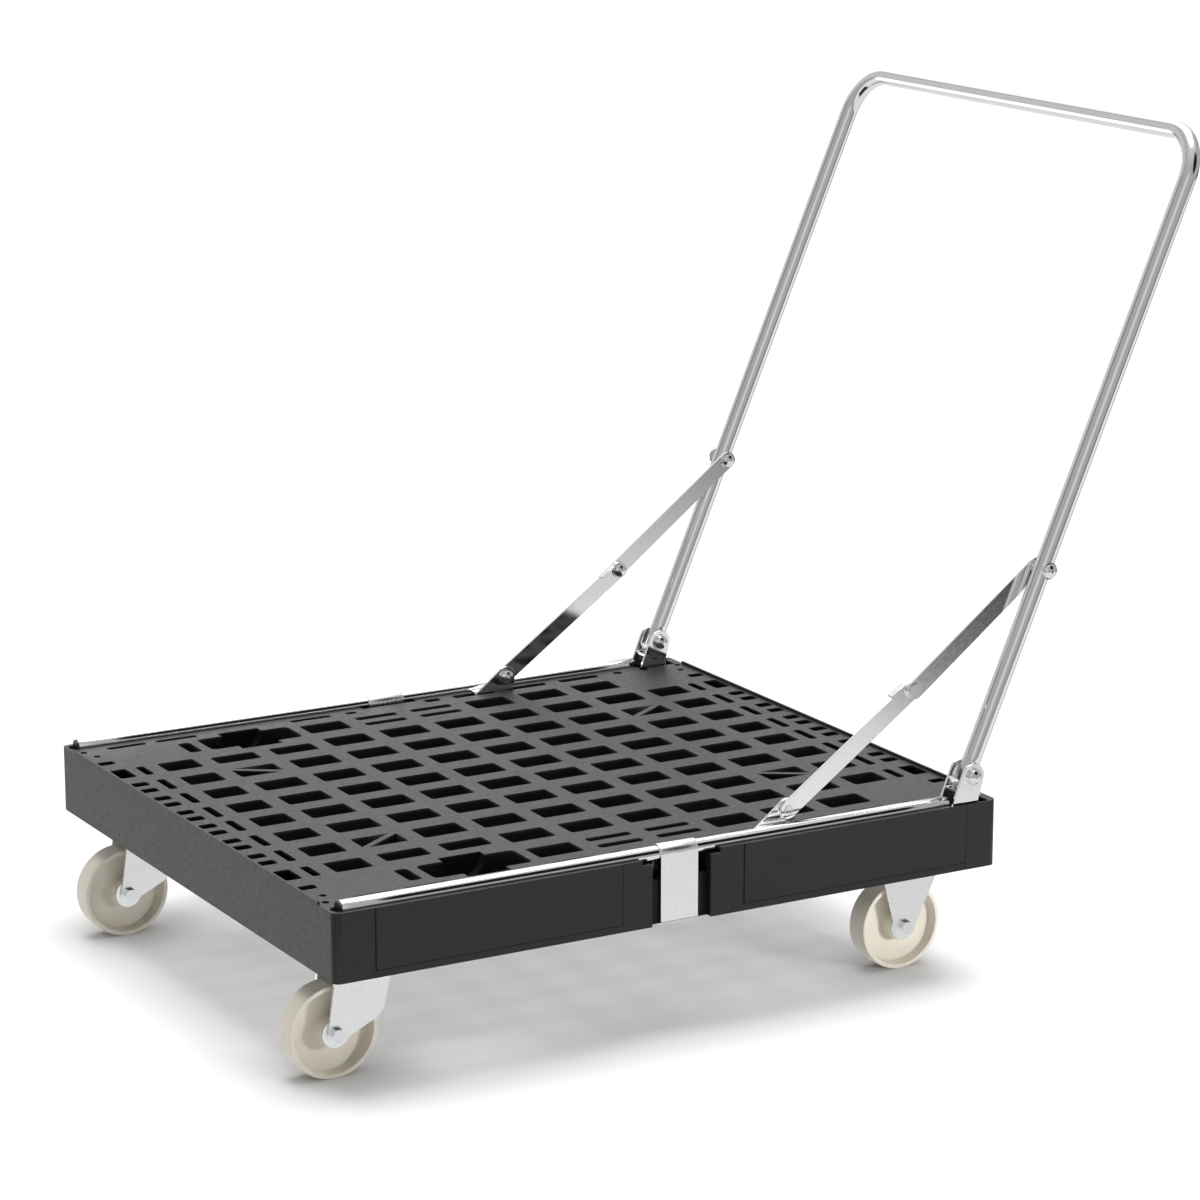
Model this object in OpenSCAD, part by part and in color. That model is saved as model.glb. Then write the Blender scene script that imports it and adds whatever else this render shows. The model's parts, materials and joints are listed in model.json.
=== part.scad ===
// Transport dolly: a moulded deck on four castors, with a tubular push handle that folds down
// onto the deck on a pair of two-link stays.
// Frame: X runs along the deck from the front end to the handle end, Y across it, Z up, with the
// floor at z = 0 and the origin at the middle of everything that the part covers, seen from above.

/* [Deck] */
// Length of the moulded deck
deck_l = 800; // [792:1:812]
// Width of the moulded deck
deck_w = 702; // [694:1:714]
// Height of the deck's moulded walls
deck_h = 74; // [64:1:84]
// Height of the loading surface above the floor
deck_top = 202; // [198:1:206]
// Radius of the deck's upright corners
deck_corner = 8; // [4:1:12]
// Thickness of the loading surface
skin_t = 5; // [4:0.5:8]
// Thickness of the outer walls
wall_t = 4.5; // [3.5:0.5:6]
// Thickness of the ribs under the loading surface
rib_t = 3; // [2.5:0.5:4]
// Height of the stop lip along the two short ends
lip_h = 3; // [1:0.5:5]
// Distance from a corner to the end of a stop lip
lip_inset = 38; // [30:1:60]

/* [Hole pattern] */
// Length of a field hole
hole_l = 52.6; // [46:0.2:56]
// Width of a field hole
hole_w = 34.6; // [28:0.2:40]
// Distance between hole columns
col_pitch = 71.6; // [68:0.1:72]
// Distance between hole rows
row_pitch = 60.6; // [56:0.1:61]
// Distance between the two middle rows
mid_pitch = 57.6; // [54:0.1:60]
// Radius of the hole corners
hole_r = 3; // [1:0.5:4]
// Radius of the finger scoops in the two hand holds
scoop_r = 25; // [20:1:28]

/* [Rails] */
// Outer diameter of the two side rails
rail_d = 16; // [14:0.5:17]
// Wall of the side rails
rail_wall = 1.5; // [1:0.1:2.5]
// Distance of the rail's axis from the deck's side face
rail_y = 15; // [14:0.5:16]
// Distance from the deck's front end to the rail's front end
rail_start = 13; // [12:1:20]
// Width of the sheet straps that hold the rails at mid length
strap_w = 45; // [35:1:55]
// Thickness of the strap sheet
strap_t = 1.6; // [1.2:0.1:2]

/* [Handle] */
// Outer diameter of the handle tube
handle_d = 20; // [18:0.5:21]
// Wall of the handle tube
handle_wall = 1.5; // [1:0.1:2.5]
// Length from the pivot to the axis of the grip bar
handle_reach = 735; // [700:5:740]
// Radius of the tube's axis in the two bends
bend_r = 52; // [40:1:70]
// Angle of the handle from upright when it is locked
lean = 23.42; // [21:0.01:26]
// Distance of the legs' axes from the deck's side faces
leg_y = 18; // [17:0.5:19]
// Position of the pivot along the deck
pivot_x = 771; // [768:1:774]
// Height of the pivot above the loading surface
pivot_up = 29; // [27:0.5:32]
// Distance along the leg from the pivot to the stay's upper joint
stay_reach = 236.5; // [234:0.5:237]

/* [Stays] */
// Width of the flat stay links
link_w = 20; // [16:0.5:20]
// Thickness of the links, feet and clevis plates
plate_t = 3; // [2.5:0.1:3]
// Length of the lower link between its joints
lower_l = 192.5; // [192.4:0.1:193]
// Length of the upper link between its joints
upper_l = 194.5; // [194.4:0.1:195]
// Position of the stay's foot joint along the deck
foot_x = 553.5; // [553:0.1:554]
// Height of the foot joint above the loading surface
foot_up = 16.5; // [16:0.5:17]
// Diameter of the joint pins
pin_d = 8; // [6:0.5:8]
// Gap between neighbouring plates that turn on one another
plate_gap = 0.3; // [0.3:0.1:0.4]

/* [Castors] */
// Diameter of the wheels
wheel_d = 100; // [96:1:102]
// Width of the wheel tread
tread_w = 28; // [24:1:30]
// Length of the wheel hub
hub_l = 33; // [31:0.5:34]
// Diameter of the bright hub washers
washer_d = 31; // [28:1:34]
// Thickness of the fork sheet
fork_t = 3; // [2.5:0.1:3.5]
// Distance of the wheel's middle plane from the deck's side face
castor_y = 87; // [84:1:92]
// Distance from the deck's front end to the front axles
front_axle_x = 33; // [31:1:35]
// Trail of the swivel castors
trail = 39; // [37:1:41]
// Distance from the deck's front end to the rear axles
rear_axle_x = 727; // [722:1:732]
// Length of the castor plates
castor_plate_l = 105; // [100:1:108]
// Width of the castor plates
castor_plate_w = 85; // [82:1:90]

/* [Hidden] */
fine = 48;

deck_bottom = deck_top - deck_h;
wheel_r = wheel_d / 2;
rail_z = deck_top + 1;
pivot_z = deck_top + pivot_up;
foot_z = deck_top + foot_up;
mid_x = deck_l / 2;
mid_y = deck_w / 2;
// the leaning handle overhangs the rear end, so the middle of the footprint lies behind the deck's
handle_back = pivot_x + handle_reach * sin(lean) + handle_d / 2;
wheel_front = front_axle_x - wheel_r;
origin_x = (handle_back + wheel_front) / 2;

// stay geometry: the elbow lies a little below the line from the foot joint to the leg
leg_dir = [sin(lean), cos(lean)];
joint_up = [pivot_x, pivot_z] + stay_reach * leg_dir;
foot_joint = [foot_x, foot_z];
span = joint_up - foot_joint;
span_l = norm(span);
span_part = (span_l * span_l + lower_l * lower_l - upper_l * upper_l) / (2 * span_l);
span_drop = sqrt(max(0, lower_l * lower_l - span_part * span_part));
elbow = foot_joint + span_part * span / span_l + span_drop * [span[1], -span[0]] / span_l;
lower_a = atan2(elbow[1] - foot_z, elbow[0] - foot_x);
upper_a = atan2(joint_up[1] - elbow[1], joint_up[0] - elbow[0]);

// planes of the left-hand linkage, counted from the deck's left side face inwards
leg_in = leg_y + handle_d / 2;
upper_y = leg_in + 2;
lower_y = upper_y + plate_t + plate_gap;
foot_y = lower_y + plate_t + plate_gap;
ear_in_y = leg_in + plate_gap;
ear_out_y = leg_y - handle_d / 2 - plate_gap - plate_t;

// fits: parts that turn on one another, and parts that are only seated on one another
run_fit = 0.1;
seat_fit = 0.05;

// deck details
panel_t = 0.8;
panel_foot = 8;
panel_ends = [[46, 331], [478, 760]];
lip_t = 2.5;
field_x = mid_x + 2;
first_col = 2;
last_col = 9;
end_hole_l = 43;
end_hole_out = 66.5;
short_hole_w = 27;
brace_w = 7;
thin_gap = 12.6;
thin_w = 11.6;
outer_col = [6, 25.2];
inner_col = [36.9, 46.7];
corner_holes = [[10.4, 41], [17.8, 62]];
corner_hole_d = 8;
hold_x = [142, 256];
hold_y = [600, 646.6];
hold_side_x = [115.8, 130.8];
hold_side_y = [601.6, 641.2];
scoop_x = (hold_x[0] + hold_x[1]) / 2;
scoop_y = [588, 658.4];
rail_bed_w = 30;
rail_bed_h = 18;
groove_r = rail_d / 2 + 1.2;
groove_start = groove_r + 3;
clevis_pocket = [742, 790];
clevis_pocket_half = 16;
clevis_seat = deck_top - 6;
rail_end = clevis_pocket[0];
boss_x = [752, 768];
foot_seat = 0.5;
foot_seat_gap = 0.4;
strap_mid = 402;
strap_recess = 71;
strap_recess_t = 9;
strap_pocket_h = 26;
notch_l = 12;
notch_h = 6;
pad_edge = 5;
pad_t = 12;
// how far a cutting solid passes through the surface that it cuts
past = 1;

// clevis and stay foot details
clevis_x = [745, 777.5];
clevis_r = 14;
clevis_front_a = 159;
clevis_web = [deck_top + 12, deck_top + 15];
clevis_tail_x = [769.5, 783, 786];
clevis_tail_half = 6;
clevis_tail_top = deck_top + 6;
foot_r = 12;
foot_x_low = [512, 562];
foot_sole_end = 556;
foot_slope = 37.4;
dome_d = 15.5;
flange_d = 19;
flange_t = 1.5;
dome_h = 7;
foot_head = [10, 0.6];
elbow_head = [15, 1.2];
lug_at = 25.4;
lug_l = 20.5;
lug_rise = 2.4;
lug_t = 2;
lug_depth = 7;
leg_drop = 9;
saddle_d = 13.5;
saddle_t = 2;
plug_out = 2;
plug_in = 14;
plug_step = 1;

// castor details
castor_top = deck_bottom;
plate_z = castor_top - fork_t;
race_d = 64;
race_h = 8;
race_gap = 0.5;
crown_z = plate_z - race_h - race_gap - race_h - fork_t;
kingpin_d = 12;
axle_d = 8;
sleeve_d = 12;
hex_af = 13;
hex_h = 5.3;
nut_h = 6.5;
axle_tail = 2;
washer_t = 1.5;
bolt_x = 40;
bolt_y = 30;
bolt_d = 8;
bolt_play = 0.4;
bolt_grip = 10;
tread_edge = 2;
rim_t = 4.5;
rim_foot = 7;
web_half = 3;
hub_r = 17;
race_step = 3;
race_rim = 2;
kingpin_tail = 12;
kingpin_washer = [24, 2];
kingpin_nut = [19, 7];
plate_corner = 6;
swivel_foot_r = 10;
fixed_foot_r = 12.5;
crown_x = [front_axle_x - 1.5, front_axle_x + 63];
swivel_x = front_axle_x + trail;
fixed_plate_x = rear_axle_x + 4;
fork_in = hub_l / 2 + plate_gap + washer_t;

// moves a part from the deck's own corner to the origin
module placed() {
    translate([-origin_x, -mid_y, 0]) children();
}
// the right-hand twin of a left-hand part, both in the deck's own corner frame
module twin() {
    translate([0, deck_w, 0]) mirror([0, 1, 0]) children();
}
// a round bar across the deck, starting at y = at, at the point p of the X-Z plane
module bar_y(p, at, len, d) {
    translate([p[0], at, p[1]]) rotate([-90, 0, 0]) cylinder(h = len, d = d, $fn = fine);
}
// an outline of the X-Z plane made solid from y = at
module sheet_y(at, t) {
    translate([0, at + t, 0]) rotate([90, 0, 0]) linear_extrude(height = t) children();
}
// a box between two corners
module block(low, high) {
    translate(low) cube(high - low);
}

// points of a centred rectangle with rounded corners, each corner in the given number of steps
function round_rect(l, w, r, steps) = [
    for (c = [0 : 3])
        for (k = [0 : steps])
            let (a = 90 * c + 90 * k / steps, sx = c == 0 || c == 3 ? 1 : -1, sy = c < 2 ? 1 : -1)
                [sx * (l / 2 - r) + r * cos(a), sy * (w / 2 - r) + r * sin(a)]
];
// a rounded rectangle between two x values and two y values, grown on every side
module slot(xs, ys, r = hole_r, grow = 0) {
    translate([(xs[0] + xs[1]) / 2, (ys[0] + ys[1]) / 2])
        polygon(round_rect(xs[1] - xs[0] + 2 * grow, ys[1] - ys[0] + 2 * grow, r, 2));
}
// the same rectangle given by its middle and its size
module hole(x, y, l, w, grow = 0) {
    slot([x - l / 2, x + l / 2], [y - w / 2, y + w / 2], grow = grow);
}
// a flat drawing and its mirror image on the other side of the deck's long middle line
module both() {
    children();
    translate([0, deck_w]) mirror([0, 1]) children();
}
// a flat drawing and its mirror image at the deck's other end
module both_ends() {
    children();
    translate([deck_l, 0]) mirror([1, 0]) children();
}

function col_x(c) = field_x + (c - (first_col + last_col) / 2) * col_pitch;
function row_y(k) = mid_y + mid_pitch / 2 + row_pitch * k;

// the regular field of holes on the right-hand side of the middle line
module field_holes(grow) {
    for (c = [first_col : last_col], k = [0 : 2]) {
        hole(col_x(c), row_y(k), hole_l, hole_w, grow);
    }
    for (c = [first_col + 2 : last_col]) {
        hole(col_x(c), row_y(3), hole_l, hole_w, grow);
    }
    for (c = [first_col, first_col + 1]) {
        hole(col_x(c), row_y(3) - (hole_w - short_hole_w) / 2, hole_l, short_hole_w, grow);
    }
    for (c = [4, 7, 8, 9]) {
        hole(col_x(c), row_y(4), hole_l, hole_w, grow);
    }
    for (c = [5, 6], s = [-1, 1]) {
        hole(col_x(c), row_y(4) + s * thin_gap, hole_l, thin_w, grow);
    }
    for (k = [0 : 3]) {
        hole(col_x(first_col) - end_hole_out, row_y(k), end_hole_l, hole_w, grow);
        hole(col_x(last_col) + end_hole_out, row_y(k), end_hole_l, hole_w, grow);
    }
}
// the braces that are left standing along the diagonals of four field holes
module field_braces() {
    for (c = [first_col, last_col]) {
        translate([col_x(c), row_y(2)]) rotate((c == first_col ? -1 : 1) * atan(hole_w / hole_l))
            square([2 * hole_l, brace_w], center = true);
    }
}
// the narrow holes along the two short ends
module end_holes() {
    both_ends() {
        slot(outer_col, [row_y(3) - hole_w / 2, row_y(3) + hole_w / 2]);
        slot(outer_col, [row_y(4) - 20, row_y(4) - 7]);
        slot(inner_col, [row_y(3) - hole_w / 2, row_y(3) + hole_w / 2]);
        for (k = [0 : 2]) {
            slot(inner_col, [row_y(k) - 20.5, row_y(k) + 20.5]);
            for (s = [-1, 1]) {
                slot(outer_col, [row_y(k) + s * 13 - 7.3, row_y(k) + s * 13 + 7.3]);
            }
        }
    }
}
// the slots beside the right-hand rail
module rail_slots() {
    rail_line = deck_w - 37.5;
    for (x = [[39.7, 86.9], [99.4, 150.2], [268.5, 320.5], [339.7, 354]]) {
        slot(x, [rail_line - 6, rail_line + 2]);
    }
    for (x = [[445.5, 465], [483, 537], [555, 608], [626.6, 679.7]]) {
        slot(x, [rail_line - 5.5, rail_line + 5.5]);
    }
    for (x = [708, 744.5]) {
        translate([x, rail_line]) circle(d = 11, $fn = fine);
    }
    both_ends() {
        for (p = corner_holes) {
            translate([p[0], deck_w - p[1]]) circle(d = corner_hole_d, $fn = fine);
        }
    }
}
module hand_hold(grow) {
    slot(hold_x, hold_y, 6, grow);
    slot(hold_side_x, hold_side_y, 4, grow);
}
// every hole that goes through the loading surface
module top_holes() {
    both() {
        difference() {
            field_holes(0);
            field_braces();
        }
        end_holes();
        rail_slots();
        hand_hold(0);
    }
}
// the deck's own outline, pulled in on every side; its long sides lie behind the raised side panels
module deck_outline(inset) {
    translate([mid_x, mid_y]) polygon(round_rect(
        deck_l - 2 * inset, deck_w - 2 * panel_t - 2 * inset, max(1, deck_corner - inset), 6
    ));
}
// the walls, hole collars and ribs under the loading surface, as one flat drawing
module deck_web() {
    difference() {
        deck_outline(0);
        deck_outline(wall_t);
    }
    both() {
        field_holes(rib_t);
        hand_hold(rib_t);
        translate([panel_t, deck_w - rail_bed_w - rib_t]) square([deck_l - 2 * panel_t, rib_t]);
    }
    for (c = [first_col - 1 : last_col]) {
        translate([col_x(c) + (col_pitch - rib_t) / 2, panel_t]) square([rib_t, deck_w - 2 * panel_t]);
    }
    for (k = [-5 : 4]) {
        translate([panel_t, mid_y + k * row_pitch - rib_t / 2]) square([deck_l - 2 * panel_t, rib_t]);
    }
}
// both long-side grooves, with their round front ends; each rail lies on the bottom of its groove
module rail_grooves() {
    for (y = [rail_y, deck_w - rail_y]) {
        translate([groove_start, y, rail_z + groove_r - rail_d / 2 - seat_fit]) {
            sphere(r = groove_r, $fn = fine);
            rotate([0, 90, 0])
                cylinder(h = rail_end + past - groove_start, r = groove_r, $fn = fine);
        }
    }
}
// everything that is cut from one long side of the deck
module side_cuts() {
    recess = [strap_mid - strap_recess / 2, strap_mid + strap_recess / 2];
    block([recess[0], -past, deck_bottom - past], [recess[1], strap_recess_t, deck_top + past]);
    block([recess[0], 0, deck_top - strap_pocket_h], [recess[1], rail_bed_w + past, deck_top + past]);
    block([recess[0] - notch_l, -past, deck_top - notch_h],
        [recess[1] + notch_l, rail_y, deck_top + past]);
    block([clevis_pocket[0], leg_y - clevis_pocket_half, clevis_seat],
        [clevis_pocket[1], leg_y + clevis_pocket_half, deck_top + past]);
    block([foot_x_low[0] - foot_seat_gap, rail_y, deck_top - foot_seat],
        [foot_x_low[1] + foot_seat_gap, foot_y + plate_t + foot_seat_gap, deck_top + past]);
    translate([scoop_x, deck_w - scoop_y[1], deck_top]) rotate([-90, 0, 0])
        cylinder(h = scoop_y[1] - scoop_y[0], r = scoop_r, $fn = fine);
}
// everything solid that is added to one long side of the deck
module side_solids() {
    translate([0, 0, deck_top - rail_bed_h]) linear_extrude(height = rail_bed_h) intersection() {
        deck_outline(0);
        square([deck_l, rail_bed_w]);
    }
    block([strap_mid - strap_recess / 2 - wall_t, panel_t, deck_bottom],
        [strap_mid + strap_recess / 2 + wall_t, strap_recess_t + wall_t, deck_top]);
    for (x = panel_ends) {
        block([x[0], 0, deck_bottom + panel_foot], [x[1], wall_t, deck_top]);
    }
    for (x = [swivel_x, fixed_plate_x]) {
        block([x - castor_plate_l / 2 - pad_edge, castor_y - castor_plate_w / 2 - pad_edge, deck_bottom],
            [x + castor_plate_l / 2 + pad_edge, castor_y + castor_plate_w / 2 + pad_edge,
                deck_bottom + pad_t]);
    }
    intersection() {
        translate([scoop_x, deck_w - scoop_y[1] - rib_t, deck_top]) rotate([-90, 0, 0])
            cylinder(h = scoop_y[1] - scoop_y[0] + 2 * rib_t, r = scoop_r + rib_t, $fn = fine);
        block([hold_x[0], 0, deck_bottom], [hold_x[1], mid_y, deck_top]);
    }
}
// the holes for the castor bolts of one long side
module bolt_holes() {
    for (x = [swivel_x, fixed_plate_x], sx = [-1, 1], sy = [-1, 1]) {
        translate([x + sx * bolt_x, castor_y + sy * bolt_y, deck_bottom - past])
            cylinder(h = bolt_grip + 2 * past, d = bolt_d + 2 * seat_fit, $fn = fine);
    }
}
// the block that stands in the clevis pocket and carries the clevis between its ears
module clevis_boss() {
    block([boss_x[0], ear_out_y + plate_t, clevis_seat - past], [boss_x[1], ear_in_y, clevis_web[0]]);
}

module deck() {
    color([0.2, 0.2, 0.21]) placed() difference() {
        union() {
            translate([0, 0, deck_top - skin_t]) linear_extrude(height = skin_t) deck_outline(0);
            translate([0, 0, deck_bottom]) linear_extrude(height = deck_h - skin_t / 2) deck_web();
            side_solids();
            twin() side_solids();
            for (x = [0, deck_l - lip_t]) {
                block([x, lip_inset, deck_top - skin_t],
                    [x + lip_t, deck_w - lip_inset, deck_top + lip_h]);
            }
        }
        translate([0, 0, deck_bottom - past]) linear_extrude(height = deck_h + 2 * past) top_holes();
        rail_grooves();
        side_cuts();
        twin() side_cuts();
        bolt_holes();
        twin() bolt_holes();
    }
    color([0.2, 0.2, 0.21]) placed() {
        clevis_boss();
        twin() clevis_boss();
    }
}

// a side rail: a plain round tube
module rail() {
    rail_l = rail_end - rail_start;
    color([0.8, 0.8, 0.82]) translate([rail_start, rail_y, rail_z]) rotate([0, 90, 0]) difference() {
        cylinder(h = rail_l, d = rail_d, $fn = fine);
        translate([0, 0, -past]) cylinder(h = rail_l + 2 * past, d = rail_d - 2 * rail_wall, $fn = fine);
    }
}
module rail_left() {
    placed() rail();
}
module rail_right() {
    placed() twin() rail();
}

module rail_plug() {
    color([0.08, 0.08, 0.08]) translate([rail_start, rail_y, rail_z]) rotate([0, 90, 0]) {
        translate([0, 0, -plug_out]) cylinder(h = plug_out, d = rail_d - plug_step, $fn = fine);
        cylinder(h = plug_in, d = rail_d - 2 * rail_wall, $fn = fine);
    }
}
module rail_plugs() {
    placed() {
        rail_plug();
        twin() rail_plug();
    }
}

// a sheet strap bent over the rail, its outer leg down the wall and its inner leg in the pocket
module strap() {
    r = rail_d / 2;
    color([0.72, 0.74, 0.76]) translate([strap_mid - strap_w / 2, rail_y, rail_z])
        rotate([90, 0, 90]) linear_extrude(height = strap_w) {
            difference() {
                circle(r = r + strap_t, $fn = fine);
                circle(r = r, $fn = fine);
                translate([-2 * r, -3 * r]) square([4 * r, 3 * r]);
            }
            translate([-r - strap_t, deck_bottom - rail_z]) square([strap_t, rail_z - deck_bottom]);
            translate([r, deck_top - strap_pocket_h - rail_z])
                square([strap_t, rail_z - deck_top + strap_pocket_h]);
        }
}
module strap_left() {
    placed() strap();
}
module strap_right() {
    placed() twin() strap();
}

// a cap nut: a washer flange and a round-topped barrel, standing inwards or outwards from y = at
module cap_nut(p, at, out = false) {
    r = dome_d / 2;
    translate([p[0], at, p[1]]) rotate([out ? 90 : -90, 0, 0]) {
        cylinder(h = flange_t, d = flange_d, $fn = fine);
        rotate_extrude($fn = fine) intersection() {
            translate([0, dome_h - 1.5 * r]) circle(r = 1.5 * r, $fn = 96);
            square([r, dome_h]);
        }
    }
}
// a flat round head of the given diameter and height, standing outwards from y = at
module flat_head(p, at, size) {
    bar_y(p, at - size[1], size[1], size[0]);
}

// the outline of one ear, from its foot up round the pivot
module ear_outline() {
    difference() {
        union() {
            translate([pivot_x, pivot_z]) circle(r = clevis_r, $fn = fine);
            polygon([
                [clevis_x[0], clevis_seat], [clevis_x[1], clevis_seat], [clevis_x[1], deck_top],
                [pivot_x + clevis_r * cos(20), pivot_z - clevis_r * sin(20)],
                [pivot_x + clevis_r * cos(clevis_front_a), pivot_z + clevis_r * sin(clevis_front_a)],
                [clevis_x[0], deck_top + 1],
            ]);
        }
        translate([pivot_x, pivot_z]) circle(d = pin_d + 2 * seat_fit, $fn = fine);
    }
}
// the bracket in which a handle leg pivots: two ears, a web on the deck's block between them, and a
// foot plate behind the block with its end turned up
module clevis() {
    tail_y = [leg_y - clevis_tail_half, leg_y + clevis_tail_half];
    color([0.75, 0.76, 0.78]) {
        sheet_y(ear_out_y, plate_t) ear_outline();
        sheet_y(ear_in_y, plate_t) ear_outline();
        block([boss_x[0], ear_out_y, clevis_web[0]], [clevis_x[1], ear_in_y + plate_t, clevis_web[1]]);
        block([clevis_tail_x[0], ear_out_y, clevis_seat],
            [clevis_x[1], ear_in_y + plate_t, clevis_seat + plate_t]);
        block([clevis_tail_x[0], tail_y[0], clevis_seat],
            [clevis_tail_x[1], tail_y[1], clevis_seat + plate_t]);
        block([clevis_tail_x[1], tail_y[0], clevis_seat], [clevis_tail_x[2], tail_y[1], clevis_tail_top]);
    }
}
module clevis_left() {
    placed() clevis();
}
module clevis_right() {
    placed() twin() clevis();
}

module pivot_bolt() {
    p = [pivot_x, pivot_z];
    color([0.8, 0.81, 0.83]) {
        cap_nut(p, ear_out_y, out = true);
        bar_y(p, ear_out_y, ear_in_y + plate_t - ear_out_y, pin_d);
        cap_nut(p, ear_in_y + plate_t);
    }
}
module pivot_bolts() {
    placed() {
        pivot_bolt();
        twin() pivot_bolt();
    }
}

// the bracket on the deck that holds the lower end of a stay
module stay_foot() {
    sole_z = deck_top - foot_seat;
    color([0.75, 0.76, 0.78]) {
        sheet_y(foot_y, plate_t) difference() {
            union() {
                translate(foot_joint) circle(r = foot_r, $fn = fine);
                polygon([
                    [foot_x_low[0], sole_z], [foot_x_low[1], sole_z], [foot_x + foot_r, foot_z],
                    [foot_x - foot_r * sin(foot_slope), foot_z + foot_r * cos(foot_slope)],
                ]);
            }
            translate(foot_joint) circle(d = pin_d + 2 * seat_fit, $fn = fine);
        }
        block([foot_x_low[0], rail_y + groove_r, sole_z], [foot_sole_end, foot_y, sole_z + plate_t]);
    }
}
module stay_foot_left() {
    placed() stay_foot();
}
module stay_foot_right() {
    placed() twin() stay_foot();
}

module stay_foot_pin() {
    color([0.8, 0.81, 0.83]) {
        flat_head(foot_joint, lower_y - plate_gap, foot_head);
        bar_y(foot_joint, lower_y - plate_gap, foot_y + plate_t - lower_y + plate_gap, pin_d);
        cap_nut(foot_joint, foot_y + plate_t);
    }
}
module stay_foot_pins() {
    placed() {
        stay_foot_pin();
        twin() stay_foot_pin();
    }
}

// the handle's two legs, two bends and grip bar, as a bar of the given diameter along the tube's axis
module handle_path(d) {
    leg_len = handle_reach - bend_r;
    translate([pivot_x, leg_y, pivot_z]) rotate([0, lean, 0]) {
        for (y = [0, deck_w - 2 * leg_y]) {
            translate([0, y, -leg_drop]) cylinder(h = leg_len + leg_drop, d = d, $fn = fine);
        }
        translate([0, bend_r, handle_reach]) rotate([-90, 0, 0])
            cylinder(h = deck_w - 2 * leg_y - 2 * bend_r, d = d, $fn = fine);
        translate([0, bend_r, leg_len]) rotate([90, 0, 0]) rotate([0, 90, 0]) rotate([0, 0, 90])
            rotate_extrude(angle = 90, $fn = 96) translate([bend_r, 0]) circle(d = d, $fn = fine);
        translate([0, deck_w - 2 * leg_y - bend_r, leg_len]) rotate([90, 0, 0]) rotate([0, 90, 0])
            rotate_extrude(angle = 90, $fn = 96) translate([bend_r, 0]) circle(d = d, $fn = fine);
    }
}
module handle_tube() {
    color([0.82, 0.83, 0.85]) placed() difference() {
        handle_path(handle_d);
        handle_path(handle_d - 2 * handle_wall);
        bar_y([pivot_x, pivot_z], -past, deck_w + 2 * past, pin_d + 2 * run_fit);
        bar_y(joint_up, -past, deck_w + 2 * past, pin_d + 2 * seat_fit);
    }
}

// the bolt through a handle leg at the stay's upper joint, on two washers shaped to the tube
module handle_stay_bolt() {
    outer = leg_y - handle_d / 2 - saddle_t;
    grip = upper_y - plate_gap - outer;
    color([0.8, 0.81, 0.83]) {
        difference() {
            bar_y(joint_up, outer, grip, saddle_d);
            translate([pivot_x, leg_y, pivot_z]) rotate([0, lean, 0])
                cylinder(h = handle_reach, d = handle_d + 2 * seat_fit, $fn = fine);
        }
        bar_y(joint_up, outer, grip, pin_d);
        cap_nut(joint_up, outer, out = true);
    }
}
module handle_stay_bolts() {
    placed() {
        handle_stay_bolt();
        twin() handle_stay_bolt();
    }
}

// a flat link with round ends, from point p along angle a; the holes at its ends can be left out
module link_outline(p, a, len, d_near, d_far) {
    translate(p) rotate(a) difference() {
        union() {
            circle(d = link_w, $fn = fine);
            translate([len, 0]) circle(d = link_w, $fn = fine);
            translate([0, -link_w / 2]) square([len, link_w]);
        }
        circle(d = d_near, $fn = fine);
        if (d_far > 0) {
            translate([len, 0]) circle(d = d_far, $fn = fine);
        }
    }
}
// the lower link, with a finger lug bent inwards from its upper edge near the elbow
module stay_lower() {
    color([0.76, 0.77, 0.79]) {
        sheet_y(lower_y, plate_t) {
            link_outline(foot_joint, lower_a, lower_l, pin_d + 2 * run_fit, pin_d + 2 * seat_fit);
            translate(foot_joint) rotate(lower_a) translate([lower_l - lug_at, link_w / 2 - past])
                square([lug_l, lug_rise + past]);
        }
        sheet_y(lower_y, plate_t + lug_depth) translate(foot_joint) rotate(lower_a)
            translate([lower_l - lug_at, link_w / 2 + lug_rise - lug_t]) square([lug_l, lug_t]);
    }
}
module stay_lower_left() {
    placed() stay_lower();
}
module stay_lower_right() {
    placed() twin() stay_lower();
}

module elbow_pin() {
    color([0.8, 0.81, 0.83]) {
        flat_head(elbow, upper_y - plate_gap, elbow_head);
        bar_y(elbow, upper_y - plate_gap, lower_y + plate_t - upper_y + plate_gap, pin_d);
        cap_nut(elbow, lower_y + plate_t);
    }
}
module elbow_pin_left() {
    placed() elbow_pin();
}
module elbow_pin_right() {
    placed() twin() elbow_pin();
}

// the upper link; it stops short of the handle bolt, which would turn in it, so that end has no hole
module stay_upper() {
    color([0.76, 0.77, 0.79])
        sheet_y(upper_y, plate_t) link_outline(elbow, upper_a, upper_l, pin_d + 2 * run_fit, 0);
}
module stay_upper_left() {
    placed() stay_upper();
}
module stay_upper_right() {
    placed() twin() stay_upper();
}

module stay_cap() {
    color([0.8, 0.81, 0.83]) cap_nut(joint_up, upper_y + plate_t);
}
module stay_cap_left() {
    placed() stay_cap();
}
module stay_cap_right() {
    placed() twin() stay_cap();
}

// a castor's square mounting plate with its four bolt holes
module castor_plate(x) {
    difference() {
        translate([x - castor_plate_l / 2, castor_y - castor_plate_w / 2, plate_z])
            linear_extrude(height = fork_t) translate([castor_plate_l / 2, castor_plate_w / 2])
                polygon(round_rect(castor_plate_l, castor_plate_w, plate_corner, 4));
        for (sx = [-1, 1], sy = [-1, 1]) {
            translate([x + sx * bolt_x, castor_y + sy * bolt_y, plate_z - past])
                cylinder(h = fork_t + 2 * past, d = bolt_d + 2 * bolt_play, $fn = fine);
        }
    }
}
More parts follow.
